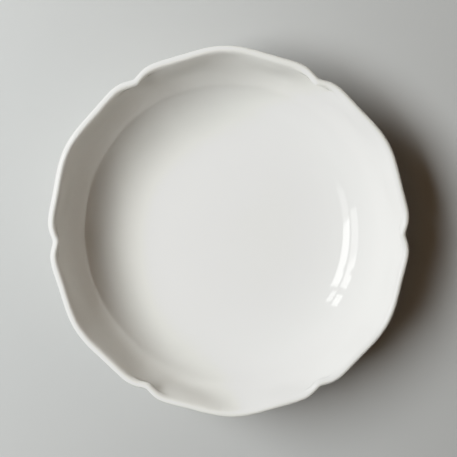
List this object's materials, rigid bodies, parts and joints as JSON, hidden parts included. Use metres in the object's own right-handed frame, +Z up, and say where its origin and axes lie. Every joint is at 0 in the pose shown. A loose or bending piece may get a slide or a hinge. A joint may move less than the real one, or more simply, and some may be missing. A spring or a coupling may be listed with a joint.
{
  "type": "shallow bowl",
  "caption": "Round shallow serving bowl of white glazed ceramic with a lobed and notched rim, a flat well, curved walls and a bare clay foot ring.",
  "frame": {"origin": "on the table, at the middle of the foot ring", "axes": "+Z up through the open mouth, +X through one notch of the rim, +Y through the crest of a lobe"},
  "size_m": [0.2238, 0.2328, 0.05],
  "materials": {
    "bare_clay": "matt, fine-grained unglazed earthenware",
    "white_glaze": "glossy warm white glaze"
  },
  "bodies": {
    "root": {"clay_body": "bare_clay", "glaze_coat": "white_glaze", "underside_glaze": "white_glaze"}
  },
  "joints": []
}
